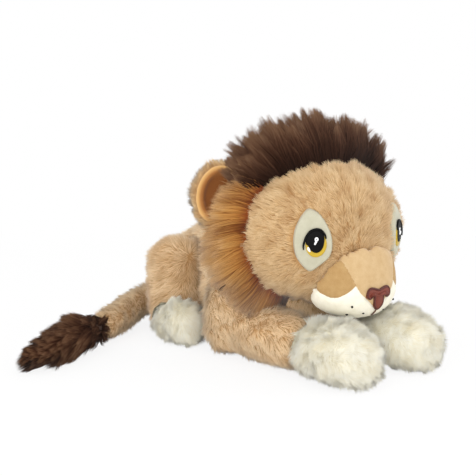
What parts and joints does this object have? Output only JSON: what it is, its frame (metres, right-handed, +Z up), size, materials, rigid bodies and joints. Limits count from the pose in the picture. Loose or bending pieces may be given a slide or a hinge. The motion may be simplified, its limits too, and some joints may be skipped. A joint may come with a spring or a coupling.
{
  "type": "stuffed lion",
  "caption": "Stuffed lion lying on its belly, forelegs stretched ahead with the chin on the paws, a swept mane and crest, and a tufted tail laid to one side",
  "frame": {"origin": "on the floor, in the flat belly face, in the plane that halves the torso and head", "axes": "-Y towards the nose, +X towards the lion's left, +Z up from the floor"},
  "size_m": [0.365, 0.3523, 0.2284],
  "materials": {
    "tan_fur": "short plush pile",
    "pale_tan_fur": "short plush pile",
    "cream_fur": "fluffy plush pile",
    "ginger_fur": "long plush pile",
    "brown_fur": "long plush pile",
    "tan_suede": "smooth brushed suede cloth",
    "cream_suede": "smooth brushed suede cloth",
    "fibre_fill": "loose polyester fibre",
    "brown_thread": "satin stitch embroidery",
    "gold_thread": "satin stitch embroidery",
    "black_thread": "satin stitch embroidery",
    "white_thread": "satin stitch embroidery"
  },
  "bodies": {
    "torso": {"torso_skin": "pale_tan_fur", "torso_filling": "fibre_fill"},
    "neck": {"neck": "fibre_fill"},
    "head": {"head_skin": "tan_fur", "head_filling": "fibre_fill", "muzzle_bridge": "tan_suede", "muzzle_side_right": "tan_suede", "muzzle_side_left": "tan_suede", "muzzle_lower_right": "cream_suede", "muzzle_lower_left": "cream_suede", "muzzle_filling": "fibre_fill", "eye_patch_right": "cream_suede", "eye_patch_left": "cream_suede", "iris_right": "gold_thread", "iris_left": "gold_thread", "pupil_right": "black_thread", "pupil_left": "black_thread", "eye_glint_right": "white_thread", "eye_glint_left": "white_thread", "nose": "brown_thread", "ear_right_back": "tan_fur", "ear_right_lining": "tan_suede", "ear_left_back": "tan_fur", "ear_left_lining": "tan_suede", "crest": "brown_fur", "mane_right": "ginger_fur", "mane_left": "ginger_fur", "mane_back": "brown_fur"},
    "front_leg_right": {"front_leg_right": "pale_tan_fur", "front_paw_right": "cream_fur"},
    "front_leg_left": {"front_leg_left": "pale_tan_fur", "front_paw_left": "cream_fur"},
    "hind_leg_right": {"haunch_right": "pale_tan_fur", "hind_paw_right": "cream_fur"},
    "hind_leg_left": {"haunch_left": "pale_tan_fur", "hind_paw_left": "cream_fur"},
    "tail": {"tail_tube": "pale_tan_fur", "tail_tuft": "brown_fur"}
  },
  "joints": [
    {"name": "head_turn", "type": "hinge", "parent": "torso", "child": "neck", "pos_m": [0, -0.044, 0.09], "axis": [0, -0.6691, 0.7431], "range_deg": [-8, 8], "stiffness_Nm_per_rad": 1.2},
    {"name": "head_nod", "type": "hinge", "parent": "neck", "child": "head", "pos_m": [0, -0.044, 0.09], "axis": [-1, 0, 0], "range_deg": [0, 8], "stiffness_Nm_per_rad": 1.5},
    {"name": "front_leg_right", "type": "hinge", "parent": "torso", "child": "front_leg_right", "pos_m": [-0.056, -0.01, 0], "axis": [0, 0, -1], "range_deg": [0, 18], "stiffness_Nm_per_rad": 0.5},
    {"name": "front_leg_left", "type": "hinge", "parent": "torso", "child": "front_leg_left", "pos_m": [0.056, -0.01, 0], "axis": [0, 0, 1], "range_deg": [0, 18], "stiffness_Nm_per_rad": 0.5},
    {"name": "hind_leg_right", "type": "hinge", "parent": "torso", "child": "hind_leg_right", "pos_m": [-0.057, 0.088, 0], "axis": [0, 0, -1], "range_deg": [0, 12], "stiffness_Nm_per_rad": 0.5},
    {"name": "hind_leg_left", "type": "hinge", "parent": "torso", "child": "hind_leg_left", "pos_m": [0.057, 0.088, 0], "axis": [0, 0, 1], "range_deg": [0, 12], "stiffness_Nm_per_rad": 0.5},
    {"name": "tail_swing", "type": "hinge", "parent": "torso", "child": "tail", "pos_m": [0, 0.149, 0.032], "axis": [0, 0, -1], "range_deg": [0, 60], "stiffness_Nm_per_rad": 0.1}
  ]
}
